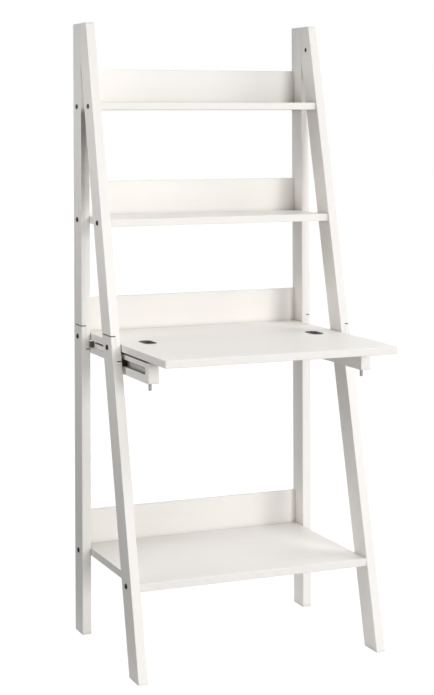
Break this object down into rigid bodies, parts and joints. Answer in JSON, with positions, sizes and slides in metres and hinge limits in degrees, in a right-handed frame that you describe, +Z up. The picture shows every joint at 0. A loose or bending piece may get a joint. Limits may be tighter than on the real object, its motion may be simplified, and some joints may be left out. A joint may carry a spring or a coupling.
{
  "type": "ladder desk",
  "caption": "White ladder desk: leaning A-shaped end frames carry open shelves with low backboards and a desktop that pulls forward on grooved rails.",
  "frame": {"origin": "centre of the bounding box on the floor, desktop pushed in", "axes": "+Z up, -Y towards the user, +X to the user's right; the desk is symmetric about X = 0"},
  "size_m": [0.6352, 0.587, 1.524],
  "materials": {
    "painted_frame": "satin white paint on solid wood",
    "painted_board": "satin white paint on board",
    "painted_desktop": "satin white paint on board",
    "painted_rail": "satin white paint on solid wood",
    "black_nylon": "moulded, matte black",
    "grommet_plastic": "moulded, dark grey",
    "black_steel": "black coated, satin",
    "zinc_insert": "zinc plated",
    "zinc_screw": "zinc plated",
    "pin_steel": "turned, plain",
    "beech": "bare beech"
  },
  "bodies": {
    "frame": {"left_rear_post_lower": "painted_frame", "left_rear_post_upper": "painted_frame", "left_front_leg_lower": "painted_frame", "left_front_leg_upper": "painted_frame", "left_runner": "painted_rail", "left_glide_block": "black_nylon", "right_rear_post_lower": "painted_frame", "right_rear_post_upper": "painted_frame", "right_front_leg_lower": "painted_frame", "right_front_leg_upper": "painted_frame", "right_runner": "painted_rail", "right_glide_block": "black_nylon", "top_shelf": "painted_board", "middle_shelf": "painted_board", "bottom_shelf": "painted_board", "top_backboard": "painted_board", "middle_backboard": "painted_board", "desk_backboard": "painted_board", "bottom_backboard": "painted_board", "top_backboard_dowels": "beech", "middle_backboard_dowels": "beech", "desk_backboard_dowels": "beech", "bottom_backboard_dowels": "beech", "top_shelf_bolts": "black_steel", "middle_shelf_bolts": "black_steel", "bottom_shelf_bolts": "black_steel", "lap_bolts": "black_steel", "top_shelf_inserts": "zinc_insert", "middle_shelf_inserts": "zinc_insert", "bottom_shelf_inserts": "zinc_insert", "lap_inserts": "zinc_insert", "apex_cams": "black_steel", "apex_cam_dowels": "zinc_screw", "runner_screws": "zinc_screw", "glide_screws": "black_steel"},
    "desk_slide": {"desktop": "painted_desktop", "left_slide_rail": "painted_rail", "left_stop_block": "black_nylon", "left_cable_grommet": "grommet_plastic", "left_rail_pin": "pin_steel", "right_slide_rail": "painted_rail", "right_stop_block": "black_nylon", "right_cable_grommet": "grommet_plastic", "right_rail_pin": "pin_steel", "rail_screws": "zinc_screw", "stop_screws": "black_steel"}
  },
  "joints": [
    {"name": "desktop_pull_out", "type": "slide", "parent": "frame", "child": "desk_slide", "axis": [0, -1, 0], "range_m": [0, 0.16]}
  ]
}
